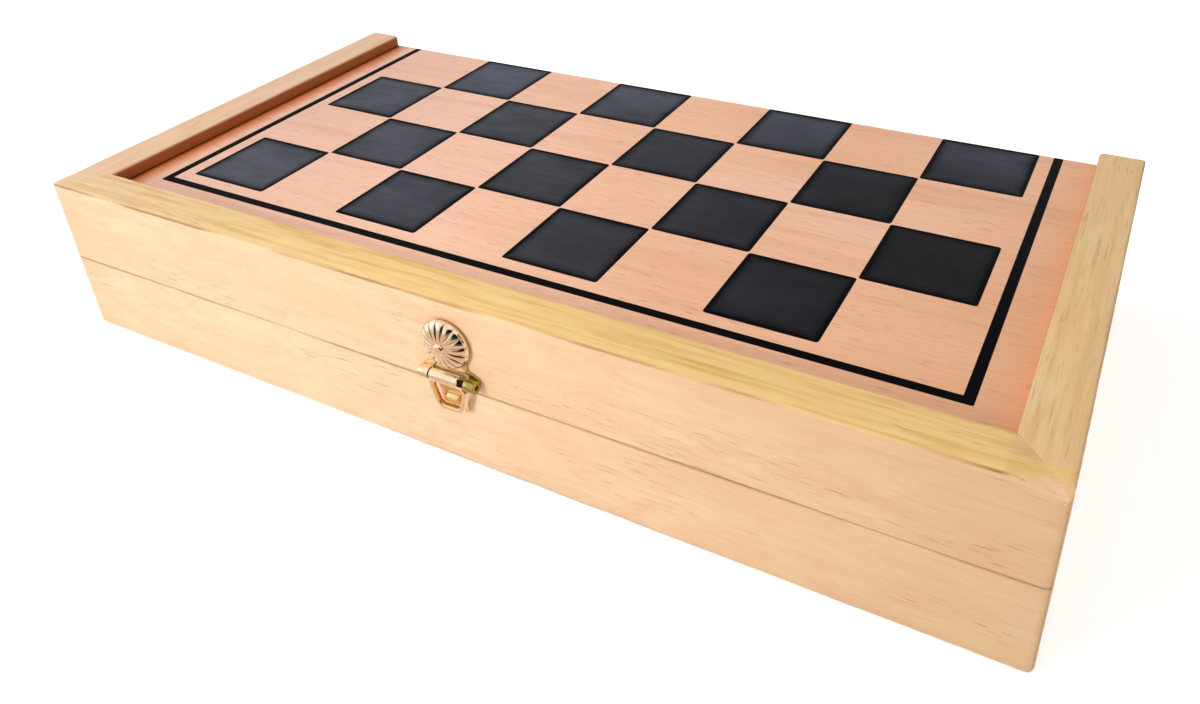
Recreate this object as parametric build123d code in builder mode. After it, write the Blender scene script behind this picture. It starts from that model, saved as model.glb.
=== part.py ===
from build123d import *

import math
import os

os.makedirs("parts", exist_ok=True)

# A folding wooden chess box: two equal trays joined by two butt hinges at the back and held
# shut by a hasp at the front. Half of the board is on the outside of each tray, so the opened
# box, turned over, is the whole board. The 32 men lie inside.
# Millimetres. X runs along the box, -Y is the latch side and +Z is up. The origin is the middle
# of the underside of the whole object's bounding box.

# Small turned pieces have pairs of flats round them, few enough for a light mesh
man_pairs = 6
fastener_pairs = 4

# Board
square = 35.0
columns = 8
rows = 4
side_margin = 19.5
front_margin = 18.5
square_trim = 0.2
line_gap = 4.9
line_width = 3.2
film = 0.08

# Trays
wall = 14.8
back_wall = 12.0
half_height = 30.5
seam = 0.4
rim = 4.8
panel_thick = 3.0
groove_depth = 4.0
groove_fit = 0.1
rim_ease = 0.7
seam_ease = 0.25
corner_ease = 1.2

# Butt hinges
hinge_length = 25.0
hinge_inset = 58.0
leaf_reach = 10.2
leaf_thick = 1.0
leaf_corner = 1.5
leaf_fit = 0.15
knuckle_radius = 1.8
knuckle_gap = 0.2
hinge_pin_radius = 0.9
pin_fit = 0.05
axis_out = 0.2
notch_fit = 0.3
screw_spacing = 15.0
screw_in = 6.2
screw_head_radius = 1.85
screw_shank_radius = 0.95
screw_length = 9.0
screw_fit = 0.05

# Latch, measured from the middle of the seam and from the front face
latch_offset = 3.4
plate_thick = 0.8
plate_neck_half = 6.3
plate_shoulder = 6.3
plate_neck_rise = 8.2
seat_radius = 7.4
rosette_rise = 16.6
rosette_radius = 8.5
rosette_skirt = 1.2
rosette_height = 4.4
rosette_crown = 3.6
crown_radius = 2.4
hollow_radius = 5.8
hollow_skirt = 0.6
hollow_height = 2.4
petals = 16
shoulder_swell = 0.4
flute_start = 2.7
flute_depth = 0.9
flute_half_angle = 48
boss_radius = 2.0
boss_top_radius = 1.1
barrel_rise = 4.5
barrel_out = 2.3
barrel_radius = 2.0
barrel_half = 10.4
barrel_gap = 0.25
latch_pin_radius = 0.8
hasp_half = 6.3
hasp_low_half = 5.1
hasp_drop = 7.4
hasp_thick = 1.0
hasp_out = 2.7
hasp_round = 3.8
window_top = 1.6
window_low = 5.0
window_top_half = 4.5
window_low_half = 3.7
window_round = 0.9
catch_half = 4.6
catch_top = 1.0
catch_low = 8.4
catch_ease = 0.8
nose_half = 2.3
nose_top = 1.8
nose_low = 4.6
nose_out = 2.4
nose_thick = 0.7
nail_radius = 0.6
nail_head_radius = 0.95
nail_head_thick = 0.45
nail_length = 7.0
nail_fit = 0.04
catch_nail_spacing = 7.0
catch_nail_drop = 3.6

# Chessmen
man_gap = 1.2
bed_gap = 0.1
foot_rise = 3.0
ogee_rise = 3.2
collar_lip = 0.8
king_height = 65.0
queen_height = 60.0
bishop_height = 50.0
knight_height = 46.0
rook_height = 40.0
pawn_height = 36.0
royal_foot = 12.5
piece_foot = 11.5
pawn_foot = 10.0
king_head = 8.0
queen_head = 7.4
bishop_head = 5.8
rook_head = 8.0
pawn_head = 6.0
knight_head = 4.5
cross_height = 8.0
cross_width = 6.0
cross_bar = 2.2
cross_thick = 2.0
notch_width = 2.6
notch_depth = 2.6
cleft_width = 1.2
cleft_depth = 9.0
cleft_tilt = 40
coronet_notches = 6
coronet_notch = 2.4

# Places that follow from the sizes above
length = columns * square + 2 * (side_margin + wall)
width = rows * square + front_margin + wall
height = 2 * half_height + seam
latch_reach = plate_thick + rosette_height
hinge_reach = axis_out + knuckle_radius
front = -(width + hinge_reach - latch_reach) / 2
back = front + width
middle = height / 2
inner_x = length / 2 - wall
inner_front = front + wall
floor = rim + panel_thick
axis_y = back + axis_out
board_left = -columns * square / 2
board_front = back - rows * square
hinge_places = {"left": -length / 2 + hinge_inset, "right": length / 2 - hinge_inset}
barrel_y = front - barrel_out
barrel_z = middle + barrel_rise
seam_plane = Plane.XY.offset(middle)
latch_face = Plane(origin=(latch_offset, front, middle), x_dir=(1, 0, 0), z_dir=(0, -1, 0))


def save(part, name):
    """Label a finished sub-part and write it under its own name."""
    part.label = name
    export_step(part, f"parts/{name}.step")


def save_turned(part, name):
    """Write the lid's copy of a base sub-part: the same piece turned over about the seam."""
    with BuildPart() as piece:
        mirror(part, about=seam_plane)
    save(piece.part, name)


def turned(sections, pairs):
    """An upright turned body with flats round it: its profile, seen the same from each side."""
    right = [(radius, rise) for rise, radius in sections]
    left = [(-radius, rise) for rise, radius in reversed(sections)]
    reach = max(radius for rise, radius in sections)
    with BuildPart() as body:
        for turn in range(pairs):
            with BuildSketch(Plane.XZ.rotated((0, 0, 180 * turn / pairs))):
                with BuildLine():
                    Polyline(*right, *left, close=True)
                make_face()
            extrude(
                amount=2 * reach, both=True, mode=Mode.INTERSECT if turn else Mode.ADD
            )
    return body.part


def shank_section(radius, mode=Mode.ADD):
    """The section of a nail's or screw's shank, or of the hole that it goes through."""
    RegularPolygon(
        radius, 2 * fastener_pairs, major_radius=False, rotation=90 / fastener_pairs, mode=mode
    )


# Tray rails

def box_outline():
    """The box in plan, with its four upright corners eased."""
    with BuildSketch() as outline:
        with Locations((0, (front + back) / 2)):
            Rectangle(length, width)
        chamfer(outline.vertices(), corner_ease)
    return outline.sketch


def grooved_rail(section_plane, run, corners):
    """A front or side rail: grooved for the panel, outer edges eased, and cut to its plan."""
    with BuildPart() as rail:
        with BuildSketch(section_plane) as section:
            with Locations((wall / 2, half_height / 2)):
                Rectangle(wall, half_height)
            chamfer(section.vertices().group_by(Axis.Y)[0], rim_ease)
            chamfer(section.vertices().group_by(Axis.Y)[-1].sort_by(Axis.X)[0], seam_ease)
            with Locations((wall - groove_depth / 2, rim + panel_thick / 2)):
                Rectangle(groove_depth, panel_thick + 2 * groove_fit, mode=Mode.SUBTRACT)
        extrude(amount=run)
        with BuildSketch():
            with BuildLine():
                Polyline(*corners, close=True)
            make_face()
            add(box_outline(), mode=Mode.INTERSECT)
        extrude(amount=half_height, mode=Mode.INTERSECT)
    return rail.part


front_rail = grooved_rail(
    Plane(origin=(-length / 2, front, 0), x_dir=(0, 1, 0), z_dir=(1, 0, 0)),
    length,
    [(-length / 2, front), (length / 2, front), (inner_x, inner_front), (-inner_x, inner_front)],
)
left_rail = grooved_rail(
    Plane(origin=(-length / 2, back, 0), x_dir=(1, 0, 0), z_dir=(0, -1, 0)),
    width,
    [(-length / 2, front), (-inner_x, inner_front), (-inner_x, back), (-length / 2, back)],
)
with BuildPart() as right_rail:
    mirror(left_rail, about=Plane.YZ)

save(left_rail, "base_left_rail")
save_turned(left_rail, "lid_left_rail")
save(right_rail.part, "base_right_rail")
save_turned(right_rail.part, "lid_right_rail")


rosette_nail = [(0, rosette_rise)]
catch_nails = [
    (-catch_nail_spacing / 2, -catch_nail_drop),
    (catch_nail_spacing / 2, -catch_nail_drop),
]


with BuildPart() as base_front_rail:
    add(front_rail)
    with BuildSketch(latch_face):
        with Locations(*catch_nails):
            shank_section(nail_radius + nail_fit)
    extrude(amount=-nail_length, mode=Mode.SUBTRACT)
save(base_front_rail.part, "base_front_rail")

with BuildPart() as lid_front_rail:
    mirror(front_rail, about=seam_plane)
    with BuildSketch(latch_face):
        with Locations(*rosette_nail):
            shank_section(nail_radius + nail_fit)
    extrude(amount=-nail_length, mode=Mode.SUBTRACT)
save(lid_front_rail.part, "lid_front_rail")


def leaf_outline(x, grow):
    """A hinge leaf in plan, from the hinge's axis into the rail, with its far corners rounded."""
    with BuildSketch(Plane.XY.offset(half_height)) as outline:
        with Locations((x, axis_y - (leaf_reach + grow) / 2)):
            Rectangle(hinge_length + 2 * grow, leaf_reach + grow)
        fillet(outline.vertices().group_by(Axis.Y)[0], leaf_corner + grow)
    return outline.sketch


def screw_spots(x):
    """Where a leaf's two screws stand."""
    y = axis_y - screw_in
    return [(x - screw_spacing / 2, y, half_height), (x + screw_spacing / 2, y, half_height)]


all_screw_spots = screw_spots(hinge_places["left"]) + screw_spots(hinge_places["right"])

with BuildPart() as base_back_rail:
    with BuildSketch(Plane.XY.offset(floor)):
        with Locations((0, back - back_wall / 2)):
            Rectangle(2 * inner_x, back_wall)
    extrude(amount=half_height - floor)
    for hinge_x in hinge_places.values():
        extrude(leaf_outline(hinge_x, leaf_fit), amount=-leaf_thick, mode=Mode.SUBTRACT)
        with Locations((hinge_x, axis_y, middle)):
            Cylinder(
                knuckle_radius + notch_fit,
                hinge_length + 2 * notch_fit,
                rotation=(0, 90, 0),
                mode=Mode.SUBTRACT,
            )
    with BuildSketch(Plane.XY.offset(half_height)):
        with Locations(*[spot[:2] for spot in all_screw_spots]):
            shank_section(screw_shank_radius + screw_fit)
    extrude(amount=-screw_length - screw_fit, mode=Mode.SUBTRACT)
save(base_back_rail.part, "base_back_rail")
save_turned(base_back_rail.part, "lid_back_rail")


# Panels and the printed board

with BuildPart() as base_panel:
    panel_front = inner_front - groove_depth + groove_fit
    with BuildSketch(Plane.XY.offset(rim)):
        with Locations((0, (panel_front + back) / 2)):
            Rectangle(2 * (inner_x + groove_depth - groove_fit), back - panel_front)
    extrude(amount=panel_thick)
save(base_panel.part, "base_panel")
save_turned(base_panel.part, "lid_panel")


def board_print(first_dark):
    """Half a board as a film of ink on the panel: dark squares and a line round three sides."""
    with BuildPart() as ink:
        with BuildSketch(Plane.XY.offset(rim)):
            for row in range(rows):
                for column in range((row + first_dark) % 2, columns, 2):
                    with Locations(
                        (board_left + (column + 0.5) * square, board_front + (row + 0.5) * square)
                    ):
                        Rectangle(square - 2 * square_trim, square - 2 * square_trim)
            line_inner = columns * square / 2 + line_gap
            line_outer = line_inner + line_width
            line_front = board_front - line_gap
            with BuildLine():
                Polyline(
                    (-line_inner, back),
                    (-line_inner, line_front),
                    (line_inner, line_front),
                    (line_inner, back),
                    (line_outer, back),
                    (line_outer, line_front - line_width),
                    (-line_outer, line_front - line_width),
                    (-line_outer, back),
                    close=True,
                )
            make_face()
        extrude(amount=-film)
    return ink.part


save(board_print(1), "base_board_print")
save_turned(board_print(0), "lid_board_print")


# Butt hinges: the base leaf has the two end knuckles and the lid leaf the one between them

knuckle_length = (hinge_length - 2 * knuckle_gap) / 3
end_knuckles = (-knuckle_length - knuckle_gap, knuckle_length + knuckle_gap)
middle_knuckle = (0,)


# A screw's head narrows to its shank through the leaf
screw = turned(
    [
        (-screw_length, screw_shank_radius),
        (-leaf_thick, screw_shank_radius),
        (0, screw_head_radius),
    ],
    fastener_pairs,
)
screw_hole = turned(
    [(-leaf_thick, screw_shank_radius + screw_fit), (0, screw_head_radius + screw_fit)],
    fastener_pairs,
)


def hinge_leaf(x, own, other):
    """A leaf let flush into the rail's edge, with its own knuckles and room for the other's."""
    with BuildPart() as leaf:
        extrude(leaf_outline(x, 0), amount=-leaf_thick)
        with Locations(*[(x + offset, axis_y, middle) for offset in other]):
            Cylinder(
                knuckle_radius + knuckle_gap,
                knuckle_length + 2 * knuckle_gap,
                rotation=(0, 90, 0),
                mode=Mode.SUBTRACT,
            )
        with Locations(*[(x + offset, axis_y, middle) for offset in own]):
            Cylinder(knuckle_radius, knuckle_length, rotation=(0, 90, 0))
        with Locations((x, axis_y, middle)):
            Cylinder(
                hinge_pin_radius + pin_fit, hinge_length, rotation=(0, 90, 0), mode=Mode.SUBTRACT
            )
        with Locations(*screw_spots(x)):
            add(screw_hole, mode=Mode.SUBTRACT)
    return leaf.part


for side, hinge_x in hinge_places.items():
    save(hinge_leaf(hinge_x, end_knuckles, middle_knuckle), f"{side}_hinge_base_leaf")
    save_turned(hinge_leaf(hinge_x, middle_knuckle, end_knuckles), f"{side}_hinge_lid_leaf")
    with BuildPart() as hinge_pin:
        with Locations((hinge_x, axis_y, middle)):
            Cylinder(hinge_pin_radius, hinge_length, rotation=(0, 90, 0))
    save(hinge_pin.part, f"{side}_hinge_pin")

with BuildPart() as hinge_screws:
    with Locations(*all_screw_spots):
        add(screw)
save(hinge_screws.part, "base_hinge_screws")
save_turned(hinge_screws.part, "lid_hinge_screws")


# Latch

def barrel(radius, start, end, mode=Mode.ADD):
    """A stretch of cylinder on the hasp's pivot, from start to end along X."""
    with Locations((latch_offset + (start + end) / 2, barrel_y, barrel_z)):
        Cylinder(radius, end - start, rotation=(0, 90, 0), mode=mode)


ear_start = hasp_half + barrel_gap

with BuildPart() as latch_plate:
    with BuildSketch(latch_face):
        with BuildLine():
            Polyline(
                (-barrel_half, barrel_rise),
                (-barrel_half, plate_shoulder),
                (-plate_neck_half, plate_neck_rise),
                (-plate_neck_half, rosette_rise),
                (plate_neck_half, rosette_rise),
                (plate_neck_half, plate_neck_rise),
                (barrel_half, plate_shoulder),
                (barrel_half, barrel_rise),
                close=True,
            )
        make_face()
        with Locations(*rosette_nail):
            RegularPolygon(seat_radius, petals)
        with Locations((0, barrel_rise)):
            Rectangle(2 * ear_start, 2 * (barrel_radius + barrel_gap), mode=Mode.SUBTRACT)
        with Locations(*rosette_nail):
            shank_section(nail_radius + nail_fit, Mode.SUBTRACT)
    extrude(amount=plate_thick)
    barrel(barrel_radius, -barrel_half, -ear_start)
    barrel(barrel_radius, ear_start, barrel_half)
    barrel(latch_pin_radius + pin_fit, -barrel_half, barrel_half, mode=Mode.SUBTRACT)
save(latch_plate.part, "latch_plate")

with BuildPart() as latch_pin:
    barrel(latch_pin_radius, -barrel_half, barrel_half)
save(latch_pin.part, "latch_pin")

# The rosette is a pressed dome with a flat for each petal and a flute between petals. Its nail's
# head is its boss. It is made upright and set on the plate.
rosette_seat = Plane(
    origin=(latch_offset, front - plate_thick, middle + rosette_rise),
    x_dir=(1, 0, 0),
    z_dir=(0, -1, 0),
)
shoulder_radius = (crown_radius + rosette_radius) / 2
shoulder_height = (rosette_crown + rosette_skirt) / 2 + shoulder_swell
flute_fall = rosette_crown - rosette_skirt + flute_depth
flute_slope = math.atan2(flute_fall, rosette_radius - flute_start)
flute_height = 2 * rosette_height
flute_half_width = flute_height * math.tan(math.radians(flute_half_angle))

with BuildPart() as rosette:
    add(
        turned(
            [
                (0, rosette_radius),
                (rosette_skirt, rosette_radius),
                (shoulder_height, shoulder_radius),
                (rosette_crown, crown_radius),
            ],
            petals // 2,
        )
    )
    for petal in range(petals):
        spoke = Plane.XY.rotated((0, 0, 360 * (petal + 0.5) / petals))
        flute_start_plane = Plane(
            origin=spoke.from_local_coords((flute_start, 0, rosette_crown)),
            x_dir=spoke.y_dir,
            z_dir=spoke.x_dir * math.cos(flute_slope) - spoke.z_dir * math.sin(flute_slope),
        )
        with BuildSketch(flute_start_plane):
            with BuildLine():
                Polyline(
                    (0, 0),
                    (flute_half_width, flute_height),
                    (-flute_half_width, flute_height),
                    close=True,
                )
            make_face()
        extrude(amount=2 * rosette_radius, mode=Mode.SUBTRACT)
    add(
        turned(
            [(0, hollow_radius), (hollow_skirt, hollow_radius), (hollow_height, crown_radius)],
            man_pairs,
        ),
        mode=Mode.SUBTRACT,
    )
    with BuildSketch():
        shank_section(nail_radius + nail_fit)
    extrude(amount=rosette_height, mode=Mode.SUBTRACT)

with BuildPart() as latch_rosette:
    with Locations(rosette_seat):
        add(rosette.part)
save(latch_rosette.part, "latch_rosette")

hasp_face = latch_face.offset(hasp_out)

with BuildPart() as latch_hasp:
    with BuildSketch(hasp_face) as hasp_outline:
        with BuildLine():
            Polyline(
                (-hasp_half, barrel_rise),
                (-hasp_low_half, -hasp_drop),
                (hasp_low_half, -hasp_drop),
                (hasp_half, barrel_rise),
                close=True,
            )
        make_face()
        fillet(hasp_outline.vertices().group_by(Axis.Y)[0], hasp_round)
    extrude(amount=hasp_thick)
    with BuildSketch(hasp_face) as window_outline:
        with BuildLine():
            Polyline(
                (-window_top_half, window_top),
                (-window_low_half, -window_low),
                (window_low_half, -window_low),
                (window_top_half, window_top),
                close=True,
            )
        make_face()
        fillet(window_outline.vertices(), window_round)
    extrude(amount=hasp_thick, mode=Mode.SUBTRACT)
    barrel(barrel_radius, -hasp_half, hasp_half)
    barrel(latch_pin_radius + pin_fit, -hasp_half, hasp_half, mode=Mode.SUBTRACT)
save(latch_hasp.part, "latch_hasp")

# The catch is a plate with a tongue pressed out of it: fixed above, open below
nose_side = Plane(
    origin=(latch_offset + nose_half, front, middle), x_dir=(0, -1, 0), z_dir=(-1, 0, 0)
)

with BuildPart() as catch:
    with BuildSketch(latch_face) as catch_outline:
        with Locations((0, -(catch_top + catch_low) / 2)):
            Rectangle(2 * catch_half, catch_low - catch_top)
        chamfer(catch_outline.vertices(), catch_ease)
        with Locations(*catch_nails):
            shank_section(nail_radius + nail_fit, Mode.SUBTRACT)
    extrude(amount=plate_thick)
    with BuildSketch(nose_side):
        with BuildLine():
            TangentArc((0, -nose_top), (nose_out, -nose_low), tangent=(1, 0))
            Line((nose_out, -nose_low), (nose_out - nose_thick, -nose_low))
            TangentArc((0, -nose_top - nose_thick), (nose_out - nose_thick, -nose_low), tangent=(1, 0))
            Line((0, -nose_top - nose_thick), (0, -nose_top))
        make_face()
    extrude(amount=2 * nose_half)
save(catch.part, "catch")


# Nails, with z out of the wood and their heads' undersides at zero
catch_nail = turned(
    [
        (-nail_length, nail_radius),
        (0, nail_radius),
        (0, nail_head_radius),
        (nail_head_thick, nail_head_radius / 2),
    ],
    fastener_pairs,
)
boss_nail = turned(
    [
        (-rosette_crown - nail_length, nail_radius),
        (0, nail_radius),
        (0, boss_radius),
        (rosette_height - rosette_crown, boss_top_radius),
    ],
    fastener_pairs,
)

with BuildPart() as catch_nail_pair:
    with Locations(*[latch_face.offset(plate_thick) * Location((x, y, 0)) for x, y in catch_nails]):
        add(catch_nail)
save(catch_nail_pair.part, "catch_nails")

with BuildPart() as placed_boss_nail:
    with Locations(rosette_seat.offset(rosette_crown)):
        add(boss_nail)
save(placed_boss_nail.part, "rosette_nail")


# Chessmen. Each is turned, and lies on the base's floor on the rim of its foot and on its head.

def lying(x, y, foot, sections):
    """The plane of a lying man's foot, with z along the man, tilted to rest on foot and head."""
    tilt = min(
        math.atan2(foot - radius, rise - foot_rise) for rise, radius in sections if rise > foot_rise
    )
    bed = floor + bed_gap + foot_rise * math.sin(tilt) + foot * math.cos(tilt)
    return Plane(
        origin=(x, y + foot * math.sin(tilt), bed),
        x_dir=(1, 0, 0),
        z_dir=(0, math.cos(tilt), -math.sin(tilt)),
    )


def shares(height, radius, pairs):
    """(rise, radius) pairs from shares of a man's height and of its foot's or head's radius."""
    return [(rise * height, share * radius) for rise, share in pairs]


def stem(height, foot, neck, collar, collar_rise):
    """A turned man's foot, ogee, tapering stem and collar, with its sizes as shares."""
    rise = collar_rise * height
    return [
        (0, foot),
        (foot_rise, foot),
        (foot_rise + ogee_rise, 0.68 * foot),
        (rise, neck * foot),
        (rise + collar_lip, collar * foot),
    ]


def ball(top, radius):
    """A knob below its top, as (rise, radius) pairs."""
    return [
        (top - radius + radius * math.sin(math.radians(angle)), radius * math.cos(math.radians(angle)))
        for angle in (-50, 0, 50)
    ] + [(top, radius / 4)]


pawn_sections = stem(pawn_height, pawn_foot, 0.34, 0.6, 0.56) + ball(pawn_height, pawn_head)
rook_sections = stem(rook_height, piece_foot, 0.45, 0.63, 0.6) + shares(
    rook_height, rook_head, [(0.8, 0.7), (0.85, 1), (1, 1)]
)
bishop_sections = stem(bishop_height, piece_foot, 0.33, 0.59, 0.58) + shares(
    bishop_height, bishop_head, [(0.68, 0.72), (0.78, 1), (0.93, 0.24), (0.97, 0.34), (1, 0.14)]
)
knight_sections = [(0, piece_foot), (foot_rise, piece_foot)] + shares(
    knight_height, piece_foot, [(0.2, 0.68), (0.26, 0.68)]
)
queen_sections = stem(queen_height, royal_foot, 0.34, 0.65, 0.6) + shares(
    queen_height, queen_head, [(0.72, 0.62), (0.92, 1), (0.93, 0.49), (0.97, 0.3), (1, 0.12)]
)
crown_rise = king_height - cross_height
king_sections = stem(king_height, royal_foot, 0.35, 0.67, 0.58) + shares(
    crown_rise, king_head, [(0.74, 0.6), (0.95, 1), (1, 0.33)]
)

with BuildPart() as pawn:
    add(turned(pawn_sections, man_pairs))

with BuildPart() as rook:
    add(turned(rook_sections, man_pairs))
    with Locations((0, 0, rook_height)):
        Box(3 * rook_head, notch_width, 2 * notch_depth, mode=Mode.SUBTRACT)
        Box(notch_width, 3 * rook_head, 2 * notch_depth, mode=Mode.SUBTRACT)

with BuildPart() as bishop:
    add(turned(bishop_sections, man_pairs))
    with Locations(Location((bishop_head, 0, 0.9 * bishop_height), (0, cleft_tilt, 0))):
        Box(cleft_width, 3 * bishop_head, cleft_depth, mode=Mode.SUBTRACT)

# The knight's neck and head from the side, as shares of its height, from the back of the neck
# over the ears and the muzzle to the breast
horse = [
    (-0.135, 0.24),
    (-0.183, 0.48),
    (-0.161, 0.70),
    (-0.074, 0.87),
    (-0.013, 1.00),
    (0.035, 0.90),
    (0.113, 0.84),
    (0.213, 0.68),
    (0.204, 0.61),
    (0.143, 0.59),
    (0.052, 0.63),
    (0.065, 0.52),
    (0.139, 0.40),
    (0.139, 0.24),
]

with BuildPart() as knight:
    add(turned(knight_sections, man_pairs))
    with BuildSketch(Plane.XZ):
        with BuildLine():
            Polyline(*[(knight_height * x, knight_height * z) for x, z in horse], close=True)
        make_face()
    extrude(amount=knight_head, both=True)

with BuildPart() as queen:
    add(turned(queen_sections, man_pairs))
    with Locations((0, 0, 0.92 * queen_height)):
        with PolarLocations(queen_head, coronet_notches, start_angle=90 / coronet_notches):
            Box(coronet_notch, 0.75 * coronet_notch, coronet_notch, mode=Mode.SUBTRACT)

with BuildPart() as king:
    add(turned(king_sections, man_pairs))
    with Locations((0, 0, crown_rise)):
        Box(cross_bar, cross_thick, 2 * cross_height)
    with Locations((0, 0, crown_rise + 0.6 * cross_height)):
        Box(cross_width, cross_thick, cross_bar)

# Each kind of man: its shape, its foot and the sections that can touch the floor
kinds = {
    "king": (king.part, royal_foot, king_sections),
    "queen": (queen.part, royal_foot, queen_sections),
    "bishop": (bishop.part, piece_foot, bishop_sections),
    "knight": (knight.part, piece_foot, knight_sections + [(knight_height, knight_head)]),
    "rook": (rook.part, piece_foot, rook_sections),
    "pawn": (pawn.part, pawn_foot, pawn_sections),
}
files = (
    ("king", "queen"),
    ("bishop", "knight"),
    ("bishop", "rook", "pawn"),
    ("knight", "rook", "pawn"),
    ("pawn", "pawn", "pawn"),
    ("pawn", "pawn", "pawn"),
)

# The light men fill the tray from its left end and the dark men from its right, file by file
for colour, way in (("light", 1), ("dark", -1)):
    counts = dict.fromkeys(kinds, 0)
    edge = inner_x - man_gap
    for file in files:
        file_foot = max(kinds[kind][1] for kind in file)
        y = inner_front + man_gap
        for kind in file:
            shape, foot, sections = kinds[kind]
            counts[kind] += 1
            with BuildPart() as man:
                with Locations(lying(-way * (edge - file_foot), y, foot, sections)):
                    add(shape)
            save(man.part, f"{colour}_{kind}_{counts[kind]}")
            y = man.part.bounding_box().max.Y + man_gap
        edge -= 2 * file_foot + man_gap
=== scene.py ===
import math

import bmesh
import bpy
from mathutils import Matrix, Vector, noise


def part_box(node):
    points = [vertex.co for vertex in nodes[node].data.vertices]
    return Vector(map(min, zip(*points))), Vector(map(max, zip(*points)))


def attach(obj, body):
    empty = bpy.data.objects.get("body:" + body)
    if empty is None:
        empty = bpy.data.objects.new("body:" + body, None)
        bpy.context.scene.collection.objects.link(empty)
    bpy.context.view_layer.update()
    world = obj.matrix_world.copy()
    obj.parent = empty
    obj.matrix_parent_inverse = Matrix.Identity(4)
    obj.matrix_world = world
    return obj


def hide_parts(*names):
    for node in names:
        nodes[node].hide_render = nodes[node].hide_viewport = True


# The looks of a folding chess box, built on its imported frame. Metres, in the frame's own axes:
# X runs along the box, -Y is the latch side and +Z is up. MM turns millimetres into metres.

MM = 0.001

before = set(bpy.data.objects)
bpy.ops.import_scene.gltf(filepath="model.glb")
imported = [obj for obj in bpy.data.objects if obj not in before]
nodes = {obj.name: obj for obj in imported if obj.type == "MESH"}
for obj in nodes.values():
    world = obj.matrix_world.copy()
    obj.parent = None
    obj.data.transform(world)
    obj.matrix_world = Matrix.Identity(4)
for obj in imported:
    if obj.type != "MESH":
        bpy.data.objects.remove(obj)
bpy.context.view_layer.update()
scene = bpy.context.scene


def low(name):
    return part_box(name)[0]


def high(name):
    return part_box(name)[1]


# Sizes read from the frame
LEFT = low("base_left_rail").x
RIGHT = high("base_right_rail").x
FRONT = low("base_front_rail").y
BACK = high("base_left_rail").y
MIDDLE = (high("base_front_rail").z + low("lid_front_rail").z) / 2
WALL = high("base_left_rail").x - LEFT
RIM = low("base_panel").z
PANEL = high("base_panel").z - RIM

# Rails
GROOVE_DEPTH = 4.0 * MM
GROOVE_FIT = 0.1 * MM
RIM_ROUND = 0.9 * MM
FOOT_ROUND = 1.8 * MM
SEAM_ROUND = 0.25 * MM
SEAM_GAP = 0.2 * MM
SEAM_LOW = MIDDLE - SEAM_GAP / 2
CORNER_ROUND = 2.2 * MM
END_ROUND = 0.5 * MM
BACK_RAIL_ROUND = 0.35 * MM
MITRE_GAP = 0.015 * MM
STATION = 3.0 * MM
SECTION_STEPS = 6
SEAM_STEPS = 3
MITRE_ROUNDS = 40
END_STATIONS = (0, 0.25, 0.5, 0.8, 1.15, 1.6, 2.2, 3.2)  # millimetres from a rail's end

# CAD nodes that keep their shape: how far apart points are joined, and what counts as flat
WELD_REACH = 0.002 * MM
FLAT_ANGLE = 1

# Wear: dents in the edges, and the lid's near right corner worn down by up to SANDED_HEIGHT
EDGE_WEAR = 0.16 * MM
WEAR_LENGTH = 16 * MM
FINE_WEAR = 0.35
FINE_WEAR_SCALE = 3.7
SANDED_LENGTH = 17 * MM
SANDED_RAMP = 0.8
SANDED_DEPTH = 5 * MM
SANDED_HEIGHT = 6 * MM
SANDED_TONES = 0.4 * MM
SANDED_LEAST = 0.001

# The yellow strip on the rim by that corner, and the painted shadow and stain at the panel's ends
STRIP_WIDTH = 5.6 * MM
STRIP_SLANT = 0.18
SHADE_AND_STAIN_BAND = 9 * MM
LACQUER_IOR = 1.4

# Board
SQUARE = 35 * MM
COLUMNS = 8
ROWS = 4
SQUARE_TRIM = 0.06 * MM
SQUARE_ROUND = 1.0 * MM
SQUARE_INNER_ROUND = 0.3 * MM
LINE_GAP = 4.9 * MM
LINE_WIDTH = 3.2 * MM
LINE_ROUND = 0.6 * MM
PRINT_STEPS = 4
INK_EDGE = 2.2 * MM
INK_LIFT = 0.012 * MM
INK_IOR = 1.08
# The rings of a dark square: how far inside its edge, in INK_EDGE, and how dense the ink is
INK_RINGS = ((0, 1.0), (0.5, 0.9), (1, 0.35), (2, 0.0))

# Latch button
PETALS = 16
PETAL_STEPS = 12
PETAL_FULLNESS = 0.55
DOME_FULLNESS = 0.55
ROSETTE_RINGS = 26
CROWN_RADIUS = 2.3 * MM
FLUTE_DEPTH = 0.42 * MM
FLUTE_ONSET = 2.2
FLUTE_FADE = 0.75
FLUTE_TONE = 0.8
EDGE_SCALLOP = 0.02
SKIRT = 0.6 * MM
SKIRT_FOOT = 0.97
BOSS_RADIUS = 1.9 * MM
BOSS_STEM = 0.55 * MM
BOSS_STEM_LOW = 0.4 * MM
BOSS_SEGMENTS = 32
# Shares of the head's radius, and millimetres above the dome or above the catch's plate
BOSS_HEAD = ((1, -0.15), (1, 0.1), (0.9, 0.42), (0.68, 0.66), (0.38, 0.77), (0, 0.8))
NAIL_RADIUS = 0.95 * MM
NAIL_STEM = 0.5 * MM
NAIL_LENGTH = 2 * MM
NAIL_RISE = 0.45 * MM
NAIL_SEGMENTS = 20
NAIL_HEAD = ((1, 0), (0.94, 0.16), (0.7, 0.34), (0.35, 0.43), (0, 0.45))

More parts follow.
